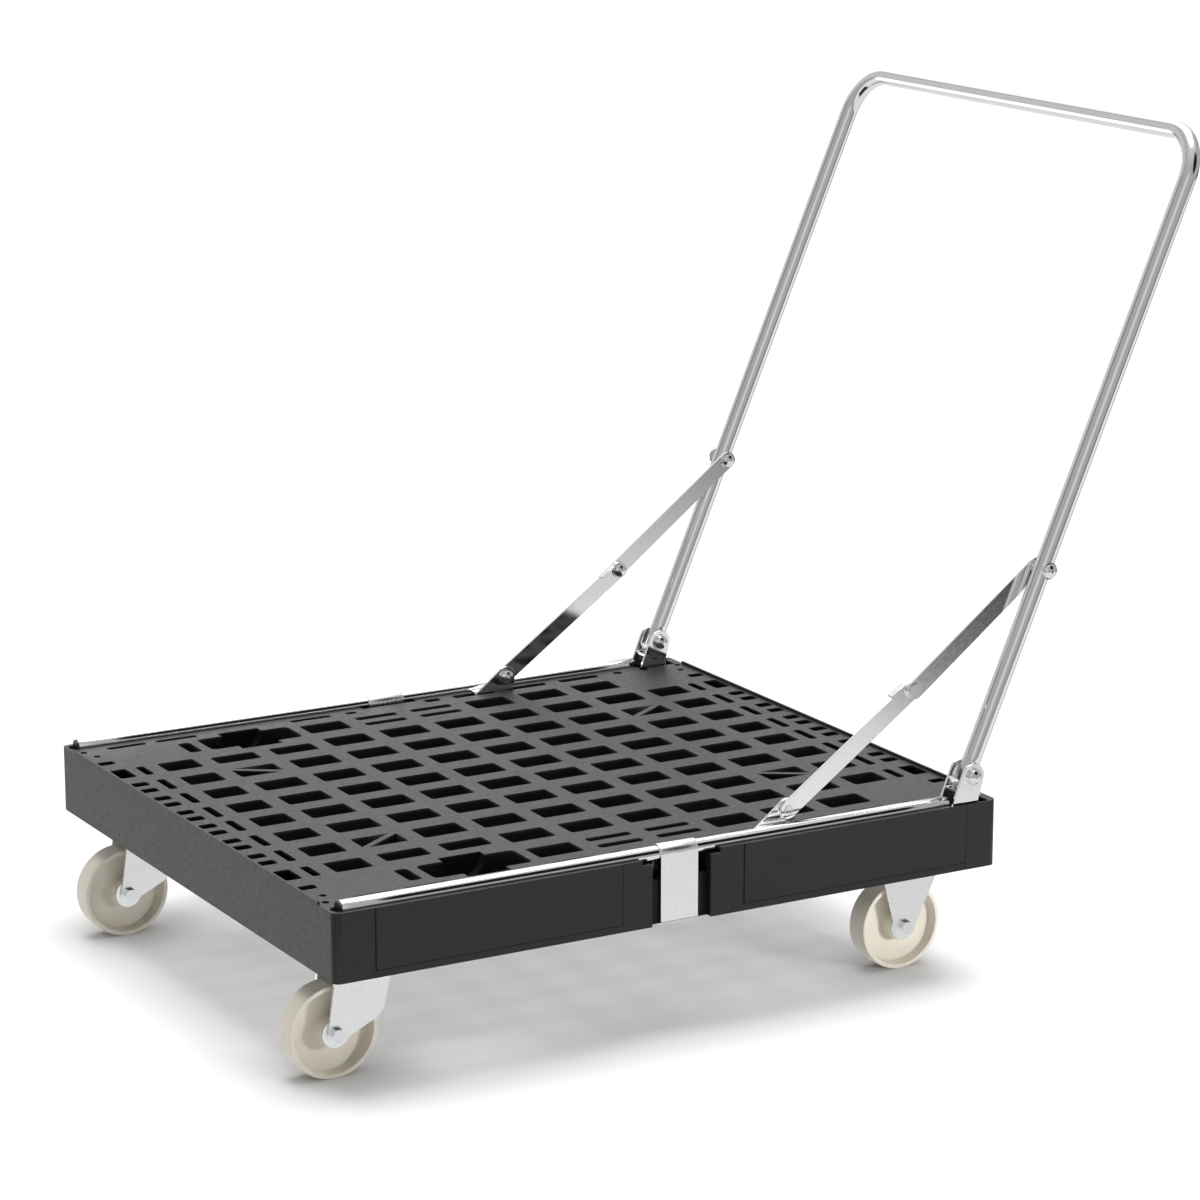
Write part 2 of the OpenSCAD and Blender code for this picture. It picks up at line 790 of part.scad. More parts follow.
// the fixed half of a swivel: mounting plate and upper ball race
module swivel_plate() {
    color([0.74, 0.75, 0.77]) difference() {
        union() {
            castor_plate(swivel_x);
            translate([swivel_x, castor_y, plate_z - race_h]) {
                cylinder(h = race_h, d = race_d - 2 * race_step, $fn = fine);
                translate([0, 0, race_rim]) cylinder(h = race_h - race_rim, d = race_d, $fn = fine);
            }
        }
        translate([swivel_x, castor_y, plate_z - race_h - past])
            cylinder(h = race_h + fork_t + 2 * past, d = kingpin_d + 2 * seat_fit, $fn = fine);
    }
}
module swivel_plate_left() {
    placed() swivel_plate();
}
module swivel_plate_right() {
    placed() twin() swivel_plate();
}

// the pin that a castor swivels on, with a washer and a hexagon nut under the fork's crown
module swivel_kingpin() {
    washer_z = -plate_gap - kingpin_washer[1];
    color([0.6, 0.61, 0.63]) translate([swivel_x, castor_y, crown_z]) {
        translate([0, 0, -kingpin_tail])
            cylinder(h = plate_z + fork_t - crown_z + kingpin_tail, d = kingpin_d, $fn = fine);
        translate([0, 0, washer_z]) cylinder(h = kingpin_washer[1], d = kingpin_washer[0], $fn = fine);
        translate([0, 0, washer_z - kingpin_nut[1]])
            cylinder(h = kingpin_nut[1], d = kingpin_nut[0] / cos(30), $fn = 6);
    }
}
module swivel_kingpins() {
    placed() {
        swivel_kingpin();
        twin() swivel_kingpin();
    }
}

// the outline of a swivel fork's side plate: its lower edge runs back from the axle boss and turns up
// round a bend to the crown
module swivel_side() {
    low_a = 28;
    bend_at = [front_axle_x + 32, wheel_r + 31];
    bend = 24;
    difference() {
        union() {
            translate([front_axle_x, wheel_r]) circle(r = swivel_foot_r, $fn = fine);
            polygon(concat(
                [[front_axle_x - swivel_foot_r, wheel_r],
                    [front_axle_x + swivel_foot_r * sin(low_a), wheel_r - swivel_foot_r * cos(low_a)]],
                [for (a = [low_a - 90 : 12 : -20]) bend_at + bend * [cos(a), sin(a)]],
                [[crown_x[1], crown_z + fork_t], [crown_x[0], crown_z + fork_t]]
            ));
        }
        translate([front_axle_x, wheel_r]) circle(d = axle_d + 2 * seat_fit, $fn = fine);
    }
}
module swivel_fork() {
    color([0.74, 0.75, 0.77]) {
        for (y = [castor_y - fork_in - fork_t, castor_y + fork_in]) {
            sheet_y(y, fork_t) swivel_side();
        }
        difference() {
            union() {
                block([crown_x[0], castor_y - fork_in, crown_z],
                    [crown_x[1], castor_y + fork_in, crown_z + fork_t]);
                translate([swivel_x, castor_y, crown_z]) {
                    cylinder(h = fork_t, d = race_d + 2 * race_rim, $fn = fine);
                    cylinder(h = fork_t + race_h - race_rim, d = race_d, $fn = fine);
                    cylinder(h = fork_t + race_h, d = race_d - 2 * race_step, $fn = fine);
                }
            }
            translate([swivel_x, castor_y, crown_z - past])
                cylinder(h = fork_t + race_h + 2 * past, d = kingpin_d + 2 * run_fit, $fn = fine);
        }
    }
}
module swivel_fork_left() {
    placed() swivel_fork();
}
module swivel_fork_right() {
    placed() twin() swivel_fork();
}

// the outline of a fixed fork's side plate
module fixed_side() {
    difference() {
        union() {
            translate([rear_axle_x, wheel_r]) circle(r = fixed_foot_r, $fn = fine);
            polygon([
                [rear_axle_x - fixed_foot_r, wheel_r],
                [rear_axle_x + fixed_foot_r * cos(28), wheel_r - fixed_foot_r * sin(28)],
                [rear_axle_x + 50, plate_z], [rear_axle_x - 33, plate_z],
            ]);
        }
        translate([rear_axle_x, wheel_r]) circle(d = axle_d + 2 * seat_fit, $fn = fine);
    }
}
module fixed_fork() {
    color([0.74, 0.75, 0.77]) {
        castor_plate(fixed_plate_x);
        for (y = [castor_y - fork_in - fork_t, castor_y + fork_in]) {
            sheet_y(y, fork_t) fixed_side();
        }
    }
}
module fixed_fork_left() {
    placed() fixed_fork();
}
module fixed_fork_right() {
    placed() twin() fixed_fork();
}

// the axle bolt with its head on the left and its nut on the right, the same way round on all wheels
module axle(x, y) {
    out = fork_in + fork_t;
    color([0.78, 0.79, 0.8]) translate([x, y - out, wheel_r]) rotate([-90, 0, 0]) {
        translate([0, 0, -hex_h]) cylinder(h = hex_h, d = hex_af / cos(30), $fn = 6);
        cylinder(h = 2 * out + nut_h + axle_tail, d = axle_d, $fn = fine);
        translate([0, 0, 2 * out]) cylinder(h = nut_h, d = hex_af / cos(30), $fn = 6);
    }
}
module front_axle_left() {
    placed() axle(front_axle_x, castor_y);
}
module front_axle_right() {
    placed() axle(front_axle_x, deck_w - castor_y);
}
module rear_axle_left() {
    placed() axle(rear_axle_x, castor_y);
}
module rear_axle_right() {
    placed() axle(rear_axle_x, deck_w - castor_y);
}

// a bearing sleeve on the axle with a bright washer at each end, clamped between the fork plates
module washers(x, y) {
    color([0.82, 0.83, 0.85]) translate([x, y - fork_in, wheel_r]) rotate([-90, 0, 0]) difference() {
        union() {
            cylinder(h = washer_t, d = washer_d, $fn = fine);
            cylinder(h = 2 * fork_in, d = sleeve_d, $fn = fine);
            translate([0, 0, 2 * fork_in - washer_t]) cylinder(h = washer_t, d = washer_d, $fn = fine);
        }
        translate([0, 0, -past])
            cylinder(h = 2 * (fork_in + past), d = axle_d + 2 * seat_fit, $fn = fine);
    }
}
module front_washers_left() {
    placed() washers(front_axle_x, castor_y);
}
module front_washers_right() {
    placed() washers(front_axle_x, deck_w - castor_y);
}
module rear_washers_left() {
    placed() washers(rear_axle_x, castor_y);
}
module rear_washers_right() {
    placed() washers(rear_axle_x, deck_w - castor_y);
}

// a moulded wheel: chamfered tread, sloping rim wall, thin web and a long hub
module wheel(x, y) {
    half = tread_w / 2;
    bore_r = sleeve_d / 2 + run_fit;
    side = [
        [wheel_r, half - tread_edge], [wheel_r - tread_edge, half], [wheel_r - rim_t, half],
        [wheel_r - rim_foot, web_half], [hub_r, web_half], [hub_r, hub_l / 2], [bore_r, hub_l / 2],
    ];
    color([0.86, 0.82, 0.7]) translate([x, y, wheel_r]) rotate([-90, 0, 0]) rotate_extrude($fn = 96)
        polygon(concat(side, [for (k = [len(side) - 1 : -1 : 0]) [side[k][0], -side[k][1]]]));
}
module front_wheel_left() {
    placed() wheel(front_axle_x, castor_y);
}
module front_wheel_right() {
    placed() wheel(front_axle_x, deck_w - castor_y);
}
module rear_wheel_left() {
    placed() wheel(rear_axle_x, castor_y);
}
module rear_wheel_right() {
    placed() wheel(rear_axle_x, deck_w - castor_y);
}

// the sixteen bolts that hold the castor plates up against the deck
module side_bolts() {
    for (x = [swivel_x, fixed_plate_x], sx = [-1, 1], sy = [-1, 1]) {
        translate([x + sx * bolt_x, castor_y + sy * bolt_y, plate_z - hex_h]) {
            cylinder(h = hex_h, d = hex_af / cos(30), $fn = 6);
            cylinder(h = hex_h + fork_t + bolt_grip, d = bolt_d, $fn = fine);
        }
    }
}
module castor_bolts() {
    color([0.7, 0.71, 0.73]) placed() {
        side_bolts();
        twin() side_bolts();
    }
}

deck();
rail_left();
rail_right();
rail_plugs();
strap_left();
strap_right();
clevis_left();
clevis_right();
pivot_bolts();
stay_foot_left();
stay_foot_right();
stay_foot_pins();
handle_tube();
handle_stay_bolts();
stay_lower_left();
stay_lower_right();
elbow_pin_left();
elbow_pin_right();
stay_upper_left();
stay_upper_right();
stay_cap_left();
stay_cap_right();
swivel_plate_left();
swivel_plate_right();
swivel_kingpins();
swivel_fork_left();
swivel_fork_right();
front_axle_left();
front_axle_right();
front_washers_left();
front_washers_right();
front_wheel_left();
front_wheel_right();
fixed_fork_left();
fixed_fork_right();
rear_axle_left();
rear_axle_right();
rear_washers_left();
rear_washers_right();
rear_wheel_left();
rear_wheel_right();
castor_bolts();
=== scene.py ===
import json
import math

import bmesh
import bpy
import numpy as np
from mathutils import Matrix, Vector


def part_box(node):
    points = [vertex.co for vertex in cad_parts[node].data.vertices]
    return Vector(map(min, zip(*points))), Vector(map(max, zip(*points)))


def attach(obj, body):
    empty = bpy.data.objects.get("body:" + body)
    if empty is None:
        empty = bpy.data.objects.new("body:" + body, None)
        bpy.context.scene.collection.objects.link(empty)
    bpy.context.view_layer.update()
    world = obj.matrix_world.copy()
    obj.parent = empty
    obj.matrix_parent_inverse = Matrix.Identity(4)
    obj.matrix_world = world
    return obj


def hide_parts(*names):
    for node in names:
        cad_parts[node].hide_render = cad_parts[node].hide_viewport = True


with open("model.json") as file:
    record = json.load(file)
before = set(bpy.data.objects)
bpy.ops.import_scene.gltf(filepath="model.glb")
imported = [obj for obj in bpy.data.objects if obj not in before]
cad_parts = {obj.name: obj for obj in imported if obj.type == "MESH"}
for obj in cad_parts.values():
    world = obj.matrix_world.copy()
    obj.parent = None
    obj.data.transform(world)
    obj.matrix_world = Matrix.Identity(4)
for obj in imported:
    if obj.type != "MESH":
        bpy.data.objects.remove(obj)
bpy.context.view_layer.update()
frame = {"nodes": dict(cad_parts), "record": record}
nodes = frame["nodes"]
mm = 0.001

# The deck's low and high corners: the frame is centred on the whole object, not on the deck
deckLow, deckHigh = (np.array(c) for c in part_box("deck"))
deckMiddle, deckHalf = (deckLow + deckHigh) / 2, (deckHigh - deckLow) / 2
deckWidth = (deckHigh[1] - deckLow[1]) / mm

meshCare = {
    "merge": 1e-6, "empty": 1e-7,        # surfaces made here: corners this close merge, edges this short go
    "cadMerge": 2e-6, "sharp": 30,       # copies of the solids: merging, and the least angle of a sharp edge
    "level": 0.005, "softShare": 0.2,    # most turn within one plane, and most of its outline that is soft
    "sideShare": 0.49,                   # the most of a side that one rounded corner may take
    "lipShare": 0.25, "straight": 1e-9,  # a tube end's chamfer as a part of its wall; no bend below this
}


def meshFrom(name, verts, faces, smooth=True):
    # one mesh object at the origin from whole arrays of corners and four-sided faces
    data = bpy.data.meshes.new(name)
    data.from_pydata(np.asarray(verts).tolist(), [], np.asarray(faces).tolist())
    data.update()
    data.shade_smooth() if smooth else data.shade_flat()
    piece = bpy.data.objects.new(name, data)
    bpy.context.scene.collection.objects.link(piece)
    return piece


def tidyMesh(piece):
    # merges doubled corners, drops empty faces and turns every face outwards
    bm = bmesh.new()
    bm.from_mesh(piece.data)
    bmesh.ops.remove_doubles(bm, verts=bm.verts, dist=meshCare["merge"])
    bmesh.ops.dissolve_degenerate(bm, edges=bm.edges, dist=meshCare["empty"])
    bmesh.ops.recalc_face_normals(bm, faces=bm.faces)
    bm.to_mesh(piece.data)
    bm.free()


def ringMesh(name, points):
    # a grid of points, closed round both ways: each face joins point (i, j) to its next row and column
    nu, nv = points.shape[:2]
    a, b = np.meshgrid(np.arange(nu), np.arange(nv), indexing="ij")
    c, d = (a + 1) % nu, (b + 1) % nv
    faces = np.stack([a * nv + b, c * nv + b, c * nv + d, a * nv + d], axis=-1).reshape(-1, 4)
    piece = meshFrom(name, points.reshape(-1, 3), faces)
    tidyMesh(piece)
    return piece


def rounded(profile, radii, steps):
    # each corner of a closed outline is replaced by an arc that touches both of its sides:
    # the tangent points lie radius / tan(half the corner's angle) away from the corner
    points, out = np.asarray(profile, float), []
    for k, r in enumerate(radii):
        p, q, s = points[k - 1], points[k], points[(k + 1) % len(points)]
        before, after = np.linalg.norm(p - q), np.linalg.norm(s - q)
        e, f = (p - q) / before, (s - q) / after
        half = math.acos(np.clip(e @ f, -1, 1)) / 2
        reach = min(r / math.tan(half), meshCare["sideShare"] * before, meshCare["sideShare"] * after)
        centre = q + (e + f) / np.linalg.norm(e + f) * reach / math.cos(half)
        a, b = q + e * reach - centre, q + f * reach - centre
        t = np.linspace(0, math.atan2(a[0] * b[1] - a[1] * b[0], a @ b), steps + 1)
        out.extend(centre + np.outer(np.cos(t), a) + np.outer(np.sin(t), (-a[1], a[0])))
    return np.array(out)


def turned(name, profile, centre, sides):
    # a closed outline of (radius, height) pairs carried once round the Y axis:
    # point = centre + (radius * sin a, height, radius * cos a)
    r, h = np.asarray(profile, float).T
    a = np.linspace(0, 2 * math.pi, sides, endpoint=False)
    along = np.broadcast_to(h, (sides, len(h)))
    points = np.stack([np.outer(np.sin(a), r), along, np.outer(np.cos(a), r)], axis=-1)
    return ringMesh(name, points + centre)


def sweptTube(name, path, outer, inner, sides):
    # a pipe along a path that lies in one plane, with side square to that plane:
    # ring = path point + radius * (cos a * side + sin a * (tangent x side)); the inner wall runs back
    p = np.asarray(path, float)
    t = np.gradient(p, axis=0)
    t /= np.linalg.norm(t, axis=1)[:, None]
    plane = np.cross(p[-1] - p[0], p[len(p) // 2] - p[0])
    if np.linalg.norm(plane) < meshCare["straight"]:
        plane = np.cross(t[0], (0, 0, 1))
    side = plane / np.linalg.norm(plane)
    other = np.cross(t, side)
    a = np.linspace(0, 2 * math.pi, sides, endpoint=False)
    ring = np.cos(a)[None, :, None] * side + np.sin(a)[None, :, None] * other[:, None, :]
    lip = (outer - inner) * meshCare["lipShare"]
    last = len(p) - 1
    at = np.array([0, *range(last + 1), last, *range(last, -1, -1)])
    radius = np.array([outer - lip, *[outer] * (last + 1), outer - lip, *[inner] * (last + 1)])
    shift = np.zeros((len(at), 1, 3))
    shift[1], shift[last + 1] = t[0] * lip, -t[-1] * lip
    return ringMesh(name, p[at][:, None] + shift + radius[:, None, None] * ring[at])


def flatGroups(bm, angle):
    # groups of faces in one plane whose outline is mostly sharp: these are shaded flat
    seen, flats = set(), []
    for start in bm.faces:
        if start in seen:
            continue
        seen.add(start)
        group, waiting, soft, total = [], [start], 0, 0
        while waiting:
            face = waiting.pop()
            group.append(face)
            for edge in face.edges:
                turn = edge.calc_face_angle(0)
                if turn > meshCare["level"]:
                    total += edge.calc_length()
                    soft += edge.calc_length() if turn < angle else 0
                    continue
                for other in edge.link_faces:
                    if other not in seen:
                        seen.add(other)
                        waiting.append(other)
        if soft <= meshCare["softShare"] * total:
            flats.extend(group)
    return flats


def softened(node, width, segments, keep=None):
    # a merged copy of a CAD node: a sharp edge gets a small round where keep says so, or stays a crease
    data = nodes[node].data.copy()
    piece = bpy.data.objects.new(node + "_look", data)
    bpy.context.scene.collection.objects.link(piece)
    limit = math.radians(meshCare["sharp"])
    bm = bmesh.new()
    bm.from_mesh(data)
    bmesh.ops.remove_doubles(bm, verts=bm.verts, dist=meshCare["cadMerge"])
    sharp = [edge for edge in bm.edges if edge.calc_face_angle(0) > limit]
    chosen = [edge for edge in sharp if keep is None or keep(edge)]
    for face in bm.faces:
        face.smooth = True
    for face in flatGroups(bm, limit):
        face.smooth = False
    for edge in set(sharp) - set(chosen):
        edge.smooth = False
    made = bmesh.ops.bevel(bm, geom=chosen, offset=width, offset_type="OFFSET", segments=segments,
                           profile=0.5, affect="EDGES", clamp_overlap=True)
    for face in made["faces"]:
        face.smooth = True
    bm.to_mesh(data)
    bm.free()
    data.materials.clear()
    return piece


def newMaterial(name):
    # the material, its node tree, its shader, and places on the object in metres
    mat = bpy.data.materials.new(name)
    mat.use_nodes = True
    tree = mat.node_tree
    shader = tree.nodes["Principled BSDF"]
    place = tree.nodes.new("ShaderNodeTexCoord").outputs["Object"]
    return mat, tree, shader, place


def addNode(tree, kind, **values):
    # each value goes to the input of that name, or else to the node's own setting
    node = tree.nodes.new("ShaderNode" + kind)
    for key, value in values.items():
        if key in node.inputs.keys():
            node.inputs[key].default_value = value
        else:
            setattr(node, key, value)
    return node


def feed(tree, socket, value):
    # a value is another node's output or a plain number
    if isinstance(value, bpy.types.NodeSocket):
        tree.links.new(value, socket)
    else:
        socket.default_value = value


def reckon(tree, operation, first, second=0.0):
    # one Math node's operation on one or two values
    node = addNode(tree, "Math", operation=operation)
    feed(tree, node.inputs[0], first)
    feed(tree, node.inputs[1], second)
    return node.outputs[0]


def distance(tree, at, middle):
    # |at - middle|
    return reckon(tree, "ABSOLUTE", reckon(tree, "SUBTRACT", at, middle))


def blend(tree, share, first, second):
    # first * (1 - share) + second * share
    node = addNode(tree, "Mix", data_type="FLOAT")
    for at, value in ((0, share), (2, first), (3, second)):
        feed(tree, node.inputs[at], value)
    return node.outputs[0]


def spread(tree, fac, low, high, fromLow=0.3, fromHigh=0.7, **kind):
    # low + (high - low) * (fac - fromLow) / (fromHigh - fromLow), held between low and high
    node = addNode(tree, "MapRange", **kind)
    for key, value in (("From Min", fromLow), ("From Max", fromHigh), ("To Min", low), ("To Max", high)):
        node.inputs[key].default_value = value
    tree.links.new(fac, node.inputs["Value"])
    return node.outputs["Result"]


def noise(tree, place, scale, detail, roughness=0.55, stretch=None):
    # scale is waves per metre, and a stretch below 1 draws them out along that axis
    if stretch:
        squeeze = addNode(tree, "Mapping", Scale=stretch)
        tree.links.new(place, squeeze.inputs["Vector"])
        place = squeeze.outputs["Vector"]
    node = addNode(tree, "TexNoise", Scale=scale, Detail=detail, Roughness=roughness)
    tree.links.new(place, node.inputs["Vector"])
    return node.outputs["Fac"]


def grey(value):
    return (value, value, value)


def ramp(tree, fac, stops):
    # colours between (place, colour) stops, which are given from low to high
    node = addNode(tree, "ValToRGB")
    band = node.color_ramp
    band.elements.remove(band.elements[1])
    band.elements[0].position = stops[0][0]
    for at, _ in stops[1:]:
        band.elements.new(at)
    for element, (_, colour) in zip(band.elements, stops):
        element.color = (*colour, 1)
    tree.links.new(fac, node.inputs["Fac"])
    return node.outputs["Color"]


def bump(tree, shader, height, strength, distance, under=None):
    # relief on the shader, laid over the relief under it
    node = addNode(tree, "Bump", Strength=strength, Distance=distance)
    tree.links.new(height, node.inputs["Height"])
    if under is not None:
        tree.links.new(under, node.inputs["Normal"])
    tree.links.new(node.outputs["Normal"], shader.inputs["Normal"])
    return node.outputs["Normal"]


# here and below, a noise is (waves per metre, detail, roughness), and a relief is (strength, height)
deckPlastic = {
    "shades": [(0.3, grey(0.009)), (0.7, grey(0.012))], "clouds": (9, 3),
    "rough": (0.37, 0.51), "fine": (240, 5),
    # the second shine is the lower one inside the deck: painted shade in its holes, ribs and collars
    "shine": 0.35, "holeShadeShine": 0.09, "sheen": 0.08, "sheenRough": 0.5,
    "top": 0.202, "skin": (3.0 * mm, 0.9 * mm), "wall": (4.0 * mm, 2.8 * mm),  # depths over which the painted shade inside fades out
    "panels": [(46, 331), (478, 760)], "panelFoot": 8 * mm, "panelRise": 1.0 * mm,
    # width of the painted shade along each side panel's step, and the shine there
    "stepShade": (0.45 * mm, 1.0 * mm), "stepShadeShine": 0.15,
    "far": 1.0, "steep": 1000.0,  # start of the nearest distance, and how fast the painted step shade ends off the sides
    "swell": (30, 2), "swellRelief": (0.12, 1.2 * mm),
    "grain": (2600, 2, 0.5), "grainRelief": (0.35, 0.06 * mm),
}


def makeDeckPlastic():
    s = deckPlastic
    mat, tree, shader, place = newMaterial("deck_plastic_grained")
    clouds = noise(tree, place, *s["clouds"])
    fine = noise(tree, place, *s["fine"])
    tree.links.new(ramp(tree, clouds, s["shades"]), shader.inputs["Base Color"])
    tree.links.new(spread(tree, fine, *s["rough"]), shader.inputs["Roughness"])
    # below the top skin and inside the outer walls, less shine and sheen: painted shade in holes, ribs and
    # collars
    split = addNode(tree, "SeparateXYZ")
    tree.links.new(place, split.inputs[0])
    x, y, z = (split.outputs[axis] for axis in "XYZ")
    out = [distance(tree, at, middle) for at, middle in zip((x, y), deckMiddle)]
    outer = spread(tree, z, 0, 1, *(s["top"] - depth for depth in s["skin"]))
    for away, half in zip(out, deckHalf):
        wall = spread(tree, away, 0, 1, *(half - depth for depth in s["wall"]))
        outer = reckon(tree, "MAXIMUM", outer, wall)
    # painted shade along the step round each raised side panel, as less shine: distance to the outline
    # of a rectangle, made large away from the side faces
    stepShade = s["far"]
    for start, end in s["panels"]:
        across = distance(tree, x, deckLow[0] + (start + end) / 2 * mm)
        across = reckon(tree, "SUBTRACT", across, (end - start) / 2 * mm)
        below = reckon(tree, "SUBTRACT", deckLow[2] + s["panelFoot"], z)
        off = reckon(tree, "ABSOLUTE", reckon(tree, "MAXIMUM", across, below))
        stepShade = reckon(tree, "MINIMUM", stepShade, off)
    inside = reckon(tree, "SUBTRACT", deckHalf[1] - s["panelRise"], out[1])
    stepShade = reckon(tree, "MAXIMUM", stepShade, reckon(tree, "MULTIPLY", inside, s["steep"]))
    stepShade = spread(tree, stepShade, s["stepShadeShine"], 1, *s["stepShade"])
    shine = reckon(tree, "MULTIPLY", stepShade, spread(tree, outer, s["holeShadeShine"], s["shine"], 0, 1))
    tree.links.new(shine, shader.inputs["Specular IOR Level"])
    tree.links.new(reckon(tree, "MULTIPLY", outer, s["sheen"]), shader.inputs["Sheen Weight"])
    shader.inputs["Sheen Roughness"].default_value = s["sheenRough"]
    swell = bump(tree, shader, noise(tree, place, *s["swell"]), *s["swellRelief"])
    bump(tree, shader, noise(tree, place, *s["grain"]), *s["grainRelief"], swell)
    return mat


chromeLook = {"clouds": (30, 4, 0.6), "stops": (0.25, 0.75), "darker": 0.94, "fine": (700, 3, 0.6),
              "rough": (0.7, 1.5), "relief": (0.05, 0.05 * mm)}
zincLook = {"clouds": (26, 5, 0.6), "stops": (0.2, 0.75), "darker": 0.95, "fine": (900, 3, 0.6),
            "rough": (0.85, 1.2), "relief": (0.015, 0.03 * mm), "spangle": 160, "spangleShare": 0.22}


def makeMetal(s, name, tint, rough, stretch):
    # a full metal: its tint is a little darker in clouds, and its roughness and relief follow fine lines;
    # zinc has even clouds with a spangle in them, and the clouds of chrome are drawn out too
    mat, tree, shader, place = newMaterial(name)
    spangled = "spangle" in s
    clouds = noise(tree, place, *s["clouds"], None if spangled else stretch)
    if spangled:
        cells = addNode(tree, "TexVoronoi", Scale=s["spangle"])
        tree.links.new(place, cells.inputs["Vector"])
        clouds = blend(tree, s["spangleShare"], clouds, cells.outputs["Distance"])
    shades = zip(s["stops"], (tuple(s["darker"] * c for c in tint), tint))
    tree.links.new(ramp(tree, clouds, list(shades)), shader.inputs["Base Color"])
    shader.inputs["Metallic"].default_value = 1
    fine = noise(tree, place, *s["fine"], stretch)
    tree.links.new(spread(tree, fine, *(rough * k for k in s["rough"])), shader.inputs["Roughness"])
    bump(tree, shader, fine, *s["relief"])
    return mat


nylonLook = {"shades": [(0.3, (0.71, 0.66, 0.56)), (0.65, (0.76, 0.715, 0.62))], "clouds": (35, 4),
             "rough": (0.32, 0.48), "fine": (500, 4), "relief": (0.12, 0.08 * mm),
             "subsurface": 0.12, "depths": (4 * mm, 3 * mm, 2 * mm)}


def makeNylon():
    s = nylonLook
    mat, tree, shader, place = newMaterial("wheel_nylon_cast")
    clouds = noise(tree, place, *s["clouds"])
    tree.links.new(ramp(tree, clouds, s["shades"]), shader.inputs["Base Color"])
    shader.inputs["Subsurface Weight"].default_value = s["subsurface"]
    shader.inputs["Subsurface Radius"].default_value = s["depths"]
    shader.inputs["Subsurface Scale"].default_value = 1.0
    fine = noise(tree, place, *s["fine"])
    tree.links.new(spread(tree, fine, *s["rough"]), shader.inputs["Roughness"])
    bump(tree, shader, fine, *s["relief"])
    return mat


plugLook = {"shades": [(0.3, grey(0.008)), (0.7, grey(0.014))], "rough": (0.35, 0.5), "fine": (900, 3),
            "relief": (0.1, 0.05 * mm)}


def makeBlackPlastic():
    s = plugLook
    mat, tree, shader, place = newMaterial("black_plug")
    fine = noise(tree, place, *s["fine"])
    tree.links.new(ramp(tree, fine, s["shades"]), shader.inputs["Base Color"])
    tree.links.new(spread(tree, fine, *s["rough"]), shader.inputs["Roughness"])
    bump(tree, shader, fine, *s["relief"])
    return mat


# look, name, tint, roughness and stretch of the fine lines of each metal
metals = {
    "rail_tube": (chromeLook, "rail_chrome", (0.86, 0.87, 0.88), 0.08, (0.05, 1, 1)),
    "handle_tube": (chromeLook, "handle_chrome", (0.86, 0.87, 0.88), 0.08, (1, 1, 0.05)),
    "strap_sheet": (zincLook, "strap_zinc", (0.98, 0.985, 0.99), 0.24, (1, 1, 0.05)),
    "stay_sheet": (zincLook, "stay_zinc", (0.93, 0.935, 0.94), 0.09, (0.2, 1, 0.2)),
    "fork_sheet": (zincLook, "fork_zinc", (0.985, 0.99, 0.995), 0.30, (1, 1, 0.2)),
    "bolt_steel": (zincLook, "bolt_zinc", (0.80, 0.81, 0.83), 0.16, (1, 1, 1)),
    "bright_fastener": (chromeLook, "bright_cap", (0.84, 0.85, 0.87), 0.12, (1, 1, 1)),
}
finishes = {"deck_plastic": makeDeckPlastic(), "black_plastic": makeBlackPlastic(),
            **{slot: makeMetal(*look) for slot, look in metals.items()}, "wheel_nylon": makeNylon()}
slotOf = {entry["node"]: entry["material_slot"] for entry in frame["record"]["subparts"]}
bodyOf = {n: b for b, names in frame["record"]["behaviour"]["bodies"].items() for n in names}


def dress(piece, node):
    # gives a new piece its finish and its body, and hides the CAD node it stands in for
    piece.data.materials.clear()
    piece.data.materials.append(finishes[slotOf[node]])
    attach(piece, bodyOf[node])
    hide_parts(node)


for name, obj in nodes.items():
    obj.data.materials.clear()
    obj.data.materials.append(finishes[slotOf[name]])
print("materials ready")

deckLook = {"edge": 0.4 * mm, "segments": 2, "topOnly": 0.190, "footBand": 20 * mm, "sideBand": 3 * mm}


def deckEdge(edge):
    # an edge in the top of the deck, or one low down on a long side
    s = deckLook
    onTop = all(v.co.z > s["topOnly"] for v in edge.verts)
    low = all(abs(v.co.z - deckLow[2]) < s["footBand"] for v in edge.verts)
    aside = (min(abs(v.co.y - deckLow[1]), abs(v.co.y - deckHigh[1])) for v in edge.verts)
    return onTop or low and all(away < s["sideBand"] for away in aside)


deckPiece = softened("deck", deckLook["edge"], deckLook["segments"], keep=deckEdge)
dress(deckPiece, "deck")
print("deck ready", len(deckPiece.data.polygons))

# width of the rolled edges of the sheet parts and bolts, and the steps round them
sheetEdges = {"stay_sheet": (0.35 * mm, 2), "fork_sheet": (0.35 * mm, 2), "strap_sheet": (0.35 * mm, 2),
              "bolt_steel": (0.4 * mm, 2)}

for name in sorted(nodes):
    if slotOf[name] in sheetEdges:
        dress(softened(name, *sheetEdges[slotOf[name]]), name)
print("sheet parts ready")

# millimetres from the deck's corner and from the floor, but the radii are in metres
handleShape = {"pivot": (771, 231), "legY": 18, "reach": 735, "drop": 9, "bend": 52, "lean": 23.42,
               "outer": 10 * mm, "inner": 8.5 * mm, "legRows": 23, "bendRows": 25, "sides": 72}
railShape = {"start": 13, "end": 742, "y": 15, "z": 203, "outer": 8 * mm, "inner": 6.5 * mm,
             "rows": 12, "sides": 64}


def spot(x, y, z):
    # a point in the frame from millimetres along the deck, across it and above the floor
    return np.stack(np.broadcast_arrays(deckLow[0] + x * mm, deckLow[1] + y * mm, z * mm), axis=-1)


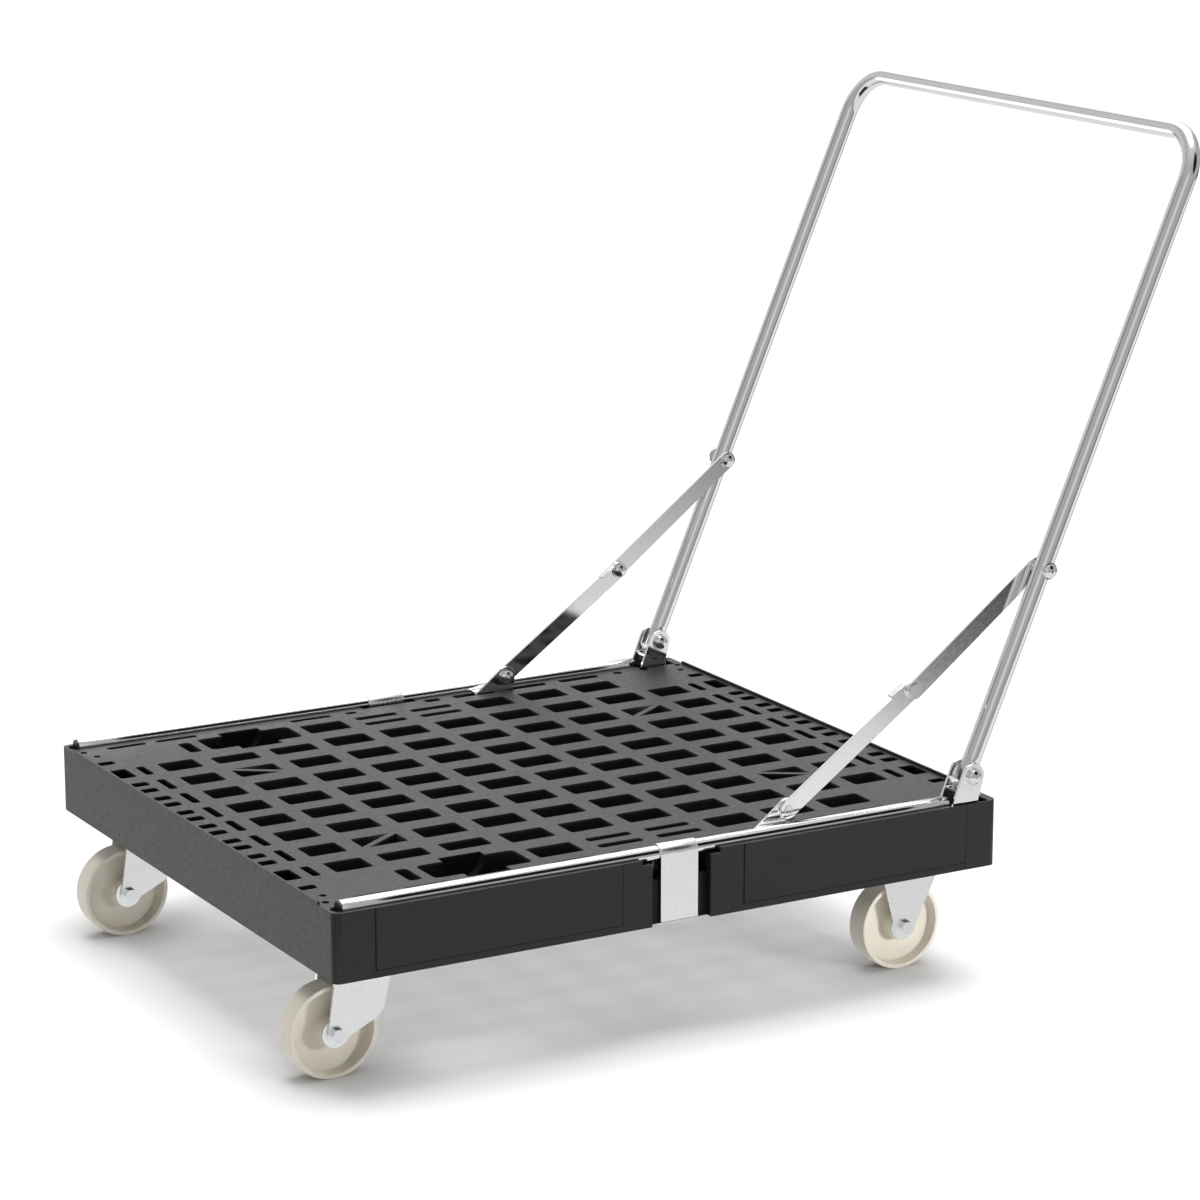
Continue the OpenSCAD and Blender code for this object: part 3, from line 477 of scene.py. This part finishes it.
def handlePath():
    # up one leg, round a quarter circle, along the grip and down the other leg, all in one leaning plane:
    # bend point = (bend * (1 - cos t), reach - bend * (1 - sin t)) as (across, up) in that plane
    s = handleShape
    width = deckWidth - 2 * s["legY"]
    t = np.linspace(0, math.pi / 2, s["bendRows"])
    legs = np.linspace(-s["drop"], s["reach"] - s["bend"], s["legRows"] + 1)[:-1]
    bend = np.stack([s["bend"] * (1 - np.cos(t)), s["reach"] - s["bend"] * (1 - np.sin(t))], axis=1)
    half = np.concatenate([np.stack([0 * legs, legs], axis=1), bend])
    across, up = np.concatenate([half, half[::-1] * (-1, 1) + (width, 0)]).T
    lean = math.radians(s["lean"])
    return spot(s["pivot"][0] + up * math.sin(lean), s["legY"] + across, s["pivot"][1] + up * math.cos(lean))


dress(sweptTube("handle_look", handlePath(), *(handleShape[k] for k in ("outer", "inner", "sides"))),
      "handle_tube")
for side, y in (("left", railShape["y"]), ("right", deckWidth - railShape["y"])):
    line = spot(np.linspace(railShape["start"], railShape["end"], railShape["rows"]), y, railShape["z"])
    rail = sweptTube("rail_%s_look" % side, line, *(railShape[k] for k in ("outer", "inner", "sides")))
    dress(rail, "rail_" + side)
print("tubes ready")

wheelShape = {"tread": 50, "half": 14, "hub": 16.5, "hubRadius": 17, "bore": 6.1, "web": 3,
              "rimFoot": 43, "rimFace": 45.5, "radii": [0.5, 1.0, 2.0, 1.6, 0.4, 1.1],
              "steps": 5, "sides": 128}
smallEdges = {"bright_fastener": (0.3 * mm, 3), "black_plastic": (0.3 * mm, 3)}


def wheelProfile():
    # half a section as (radius, height) from the bore out to the tread, and its mirror image back
    s = wheelShape
    side = [(s["bore"], s["hub"]), (s["hubRadius"], s["hub"]), (s["hubRadius"], s["web"]),
            (s["rimFoot"], s["web"]), (s["rimFace"], s["half"]), (s["tread"], s["half"])]
    return rounded(side + [(r, -h) for r, h in side[::-1]], s["radii"] + s["radii"][::-1], s["steps"]) * mm


for name in sorted(nodes):
    if slotOf[name] == "wheel_nylon":
        low, high = (np.array(c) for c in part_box(name))
        dress(turned(name + "_look", wheelProfile(), (low + high) / 2, wheelShape["sides"]), name)
    elif slotOf[name] in smallEdges:
        dress(softened(name, *smallEdges[slotOf[name]]), name)
print("wheels ready")

# Studio: a white floor, a soft sky drawn by direction, a wide sun and two soft boxes
studio = {
    "floorShades": [(0.2, grey(0.59)), (0.8, grey(0.60))], "floorClouds": (2, 3),
    "floorRough": 0.9, "floorShine": 0.1, "floorHalf": 40, "floorGlow": 0.34,
    "contactReach": 0.122, "contactPower": 2.0, "contactSamples": 3,
    # the black card under the deck, which paints shade into the deep holes
    "cardInset": 4 * mm, "cardHeight": 1 * mm,
    # brightness of the surroundings by elevation in degrees
    "levels": [(-90, 0.82), (-22, 0.84), (-14.2, 0.84), (-13.2, 0.60), (-12.2, 0.30), (-10.5, 0.24),
               (-7, 0.36), (-3, 0.43), (25, 0.43), (40, 0.45), (60, 0.60), (90, 0.70)],
    # soft patches: azimuth from +Y towards +X, elevation, full radius, outer radius, change of brightness
    "patches": [
        (30, 45, 14, 38, 0.90), (12, 6, 12, 34, 0.40), (125, 56, 5, 14, 0.18), (148, 30, 12, 24, -0.60),
        (-66, 25, 1.5, 8, -0.30), (-30, 17, 10, 24, 0.18), (-148, 17, 8, 20, 0.26),
        (144, -12.5, 2.9, 3.9, -0.71), (117, -17, 5, 18, 0.10), (78, -19, 6, 18, -0.40),
        (-34, -14, 5, 13, 1.25),
    ],
    # what matt surfaces receive: brightness by elevation, and a broad light from behind and above
    "fill": [(-90, 0.4), (0, 0.10), (30, 0.12), (90, 0.60)],
    "fillPatches": [(25, 38, 15, 70, 0.60)],
    "darkest": 0.012, "backdrop": 1.0,
    "sun": {"azimuth": 50, "elevation": 81, "angle": 44, "strength": 2.9},
    # soft boxes: name, place, target, width and height, watts
    "boxes": [("leftBox", (-3.2, 0.2, 1.4), (0, 0, 0.2), (1.6, 2.4), 2),
              ("rightBox", (0.78, -1.5, 0.28), (0, -0.3, 0.1), (0.22, 0.22), 13)],
}


def towards(azimuth, elevation):
    # unit direction (sin azimuth * cos elevation, cos azimuth * cos elevation, sin elevation)
    a, e = math.radians(azimuth), math.radians(elevation)
    return Vector((math.sin(a) * math.cos(e), math.cos(a) * math.cos(e), math.sin(e)))


def patch(tree, aim, azimuth, elevation, inner, outer, change):
    # change * smoothstep of the cosine between the direction and the patch's middle
    dot = addNode(tree, "VectorMath", operation="DOT_PRODUCT")
    dot.inputs[1].default_value = towards(azimuth, elevation)
    tree.links.new(aim, dot.inputs[0])
    limits = (math.cos(math.radians(r)) for r in (outer, inner))
    return spread(tree, dot.outputs["Value"], 0.0, change, *limits, interpolation_type="SMOOTHSTEP")


def makeSky():
    # brightness = level at this elevation + the sum of the patches: one set for mirror-like reflections,
    # one for matt light, and plain white behind the object
    world = bpy.data.worlds.new("studio")
    world.use_nodes = True
    world.cycles.sampling_method = "NONE"
    tree = world.node_tree
    aim = tree.nodes.new("ShaderNodeTexCoord").outputs["Generated"]
    split = addNode(tree, "SeparateXYZ")
    tree.links.new(aim, split.inputs[0])
    height = reckon(tree, "ADD", reckon(tree, "MULTIPLY", split.outputs["Z"], 0.5), 0.5)

    def drawn(levels, patches):
        total = ramp(tree, height, [(0.5 + 0.5 * math.sin(math.radians(e)), grey(v)) for e, v in levels])
        for entry in patches:
            total = reckon(tree, "ADD", total, patch(tree, aim, *entry))
        return reckon(tree, "MAXIMUM", total, studio["darkest"])

    ray = tree.nodes.new("ShaderNodeLightPath")
    matt = drawn(studio["fill"], studio["fillPatches"])
    mirrored = drawn(studio["levels"], studio["patches"])
    seen = blend(tree, ray.outputs["Is Glossy Ray"], matt, mirrored)
    seen = blend(tree, ray.outputs["Is Camera Ray"], seen, studio["backdrop"])
    tree.links.new(seen, tree.nodes["Background"].inputs["Color"])
    bpy.context.scene.world = world


def flatSheet(name, low, high, z):
    # one level rectangle between two corners
    (x0, y0), (x1, y1) = low, high
    return meshFrom(name, [(x0, y0, z), (x1, y0, z), (x1, y1, z), (x0, y1, z)], [(0, 1, 2, 3)], False)


def makeFloor():
    s = studio
    floor = flatSheet("floor", (-s["floorHalf"], -s["floorHalf"]), (s["floorHalf"], s["floorHalf"]), 0)
    mat, tree, shader, place = newMaterial("studio_floor")
    clouds = noise(tree, place, *s["floorClouds"])
    tree.links.new(ramp(tree, clouds, s["floorShades"]), shader.inputs["Base Color"])
    shader.inputs["Roughness"].default_value = s["floorRough"]
    shader.inputs["Specular IOR Level"].default_value = s["floorShine"]
    shader.inputs["Emission Color"].default_value = (1, 1, 1, 1)
    # the floor's own glow fades close to whatever stands over it, which keeps the contact shadows dark
    near = addNode(tree, "AmbientOcclusion", Distance=s["contactReach"], samples=s["contactSamples"])
    glow = reckon(tree, "POWER", near.outputs["AO"], s["contactPower"])
    tree.links.new(reckon(tree, "MULTIPLY", glow, s["floorGlow"]), shader.inputs["Emission Strength"])
    floor.data.materials.append(mat)
    floor.visible_glossy = False


def makeShadeCard():
    # a black card just inside the deck's underside, seen by reflections alone: painted shade that keeps the
    # deep holes dark
    inset, z = studio["cardInset"], deckLow[2] + studio["cardHeight"]
    card = flatSheet("holeShadeCard", deckLow[:2] + inset, deckHigh[:2] - inset, z)
    mat, _, shader, _ = newMaterial("hole_shade_card")
    shader.inputs["Base Color"].default_value = (0, 0, 0, 1)
    shader.inputs["Specular IOR Level"].default_value = 0
    card.data.materials.append(mat)
    card.visible_camera = card.visible_diffuse = card.visible_shadow = False


def placeLamp(name, light, direction, at=(0, 0, 0)):
    # a lamp at a place, shining along a direction
    lamp = bpy.data.objects.new(name, light)
    lamp.location = at
    lamp.rotation_euler = direction.to_track_quat("-Z", "Y").to_euler()
    bpy.context.scene.collection.objects.link(lamp)
    return lamp


def wideSun(azimuth, elevation, angle, strength):
    light = bpy.data.lights.new("wideSun", "SUN")
    light.angle = math.radians(angle)
    light.energy = strength
    placeLamp("wideSun", light, -towards(azimuth, elevation))


def softBox(name, at, target, size, power):
    # a rectangle of light that mirror-like surfaces don't show
    light = bpy.data.lights.new(name, "AREA")
    light.shape = "RECTANGLE"
    light.size, light.size_y = size
    light.energy = power
    placeLamp(name, light, Vector(target) - Vector(at), at).visible_glossy = False


makeSky()
makeFloor()
makeShadeCard()
wideSun(**studio["sun"])
for box in studio["boxes"]:
    softBox(*box)

scene = bpy.context.scene
scene.view_settings.view_transform = "Standard"
scene.view_settings.look = "None"

# fitted to edges and points of the photograph, in degrees and metres; lens and sensor in millimetres
cameraFit = {"lens": 122.33, "sensor": 36, "yaw": -29.766, "pitch": 13.958,
             "at": (-2.20797, -3.8186, 1.4791), "clip": (0.1, 60)}


def placeCamera():
    # the camera looks along forward, and up = right x forward keeps it level
    s = cameraFit
    forward = towards(-s["yaw"], -s["pitch"])
    right = Vector((math.cos(math.radians(s["yaw"])), math.sin(math.radians(s["yaw"])), 0))
    up = right.cross(forward)
    data = bpy.data.cameras.new("camera")
    data.lens, data.sensor_width, data.sensor_fit = s["lens"], s["sensor"], "HORIZONTAL"
    data.clip_start, data.clip_end = s["clip"]
    camera = bpy.data.objects.new("camera", data)
    rows = Matrix((right, up, -forward)).transposed()
    camera.matrix_world = Matrix.Translation(s["at"]) @ rows.to_4x4()
    scene.collection.objects.link(camera)
    scene.camera = camera


placeCamera()
print("studio ready")
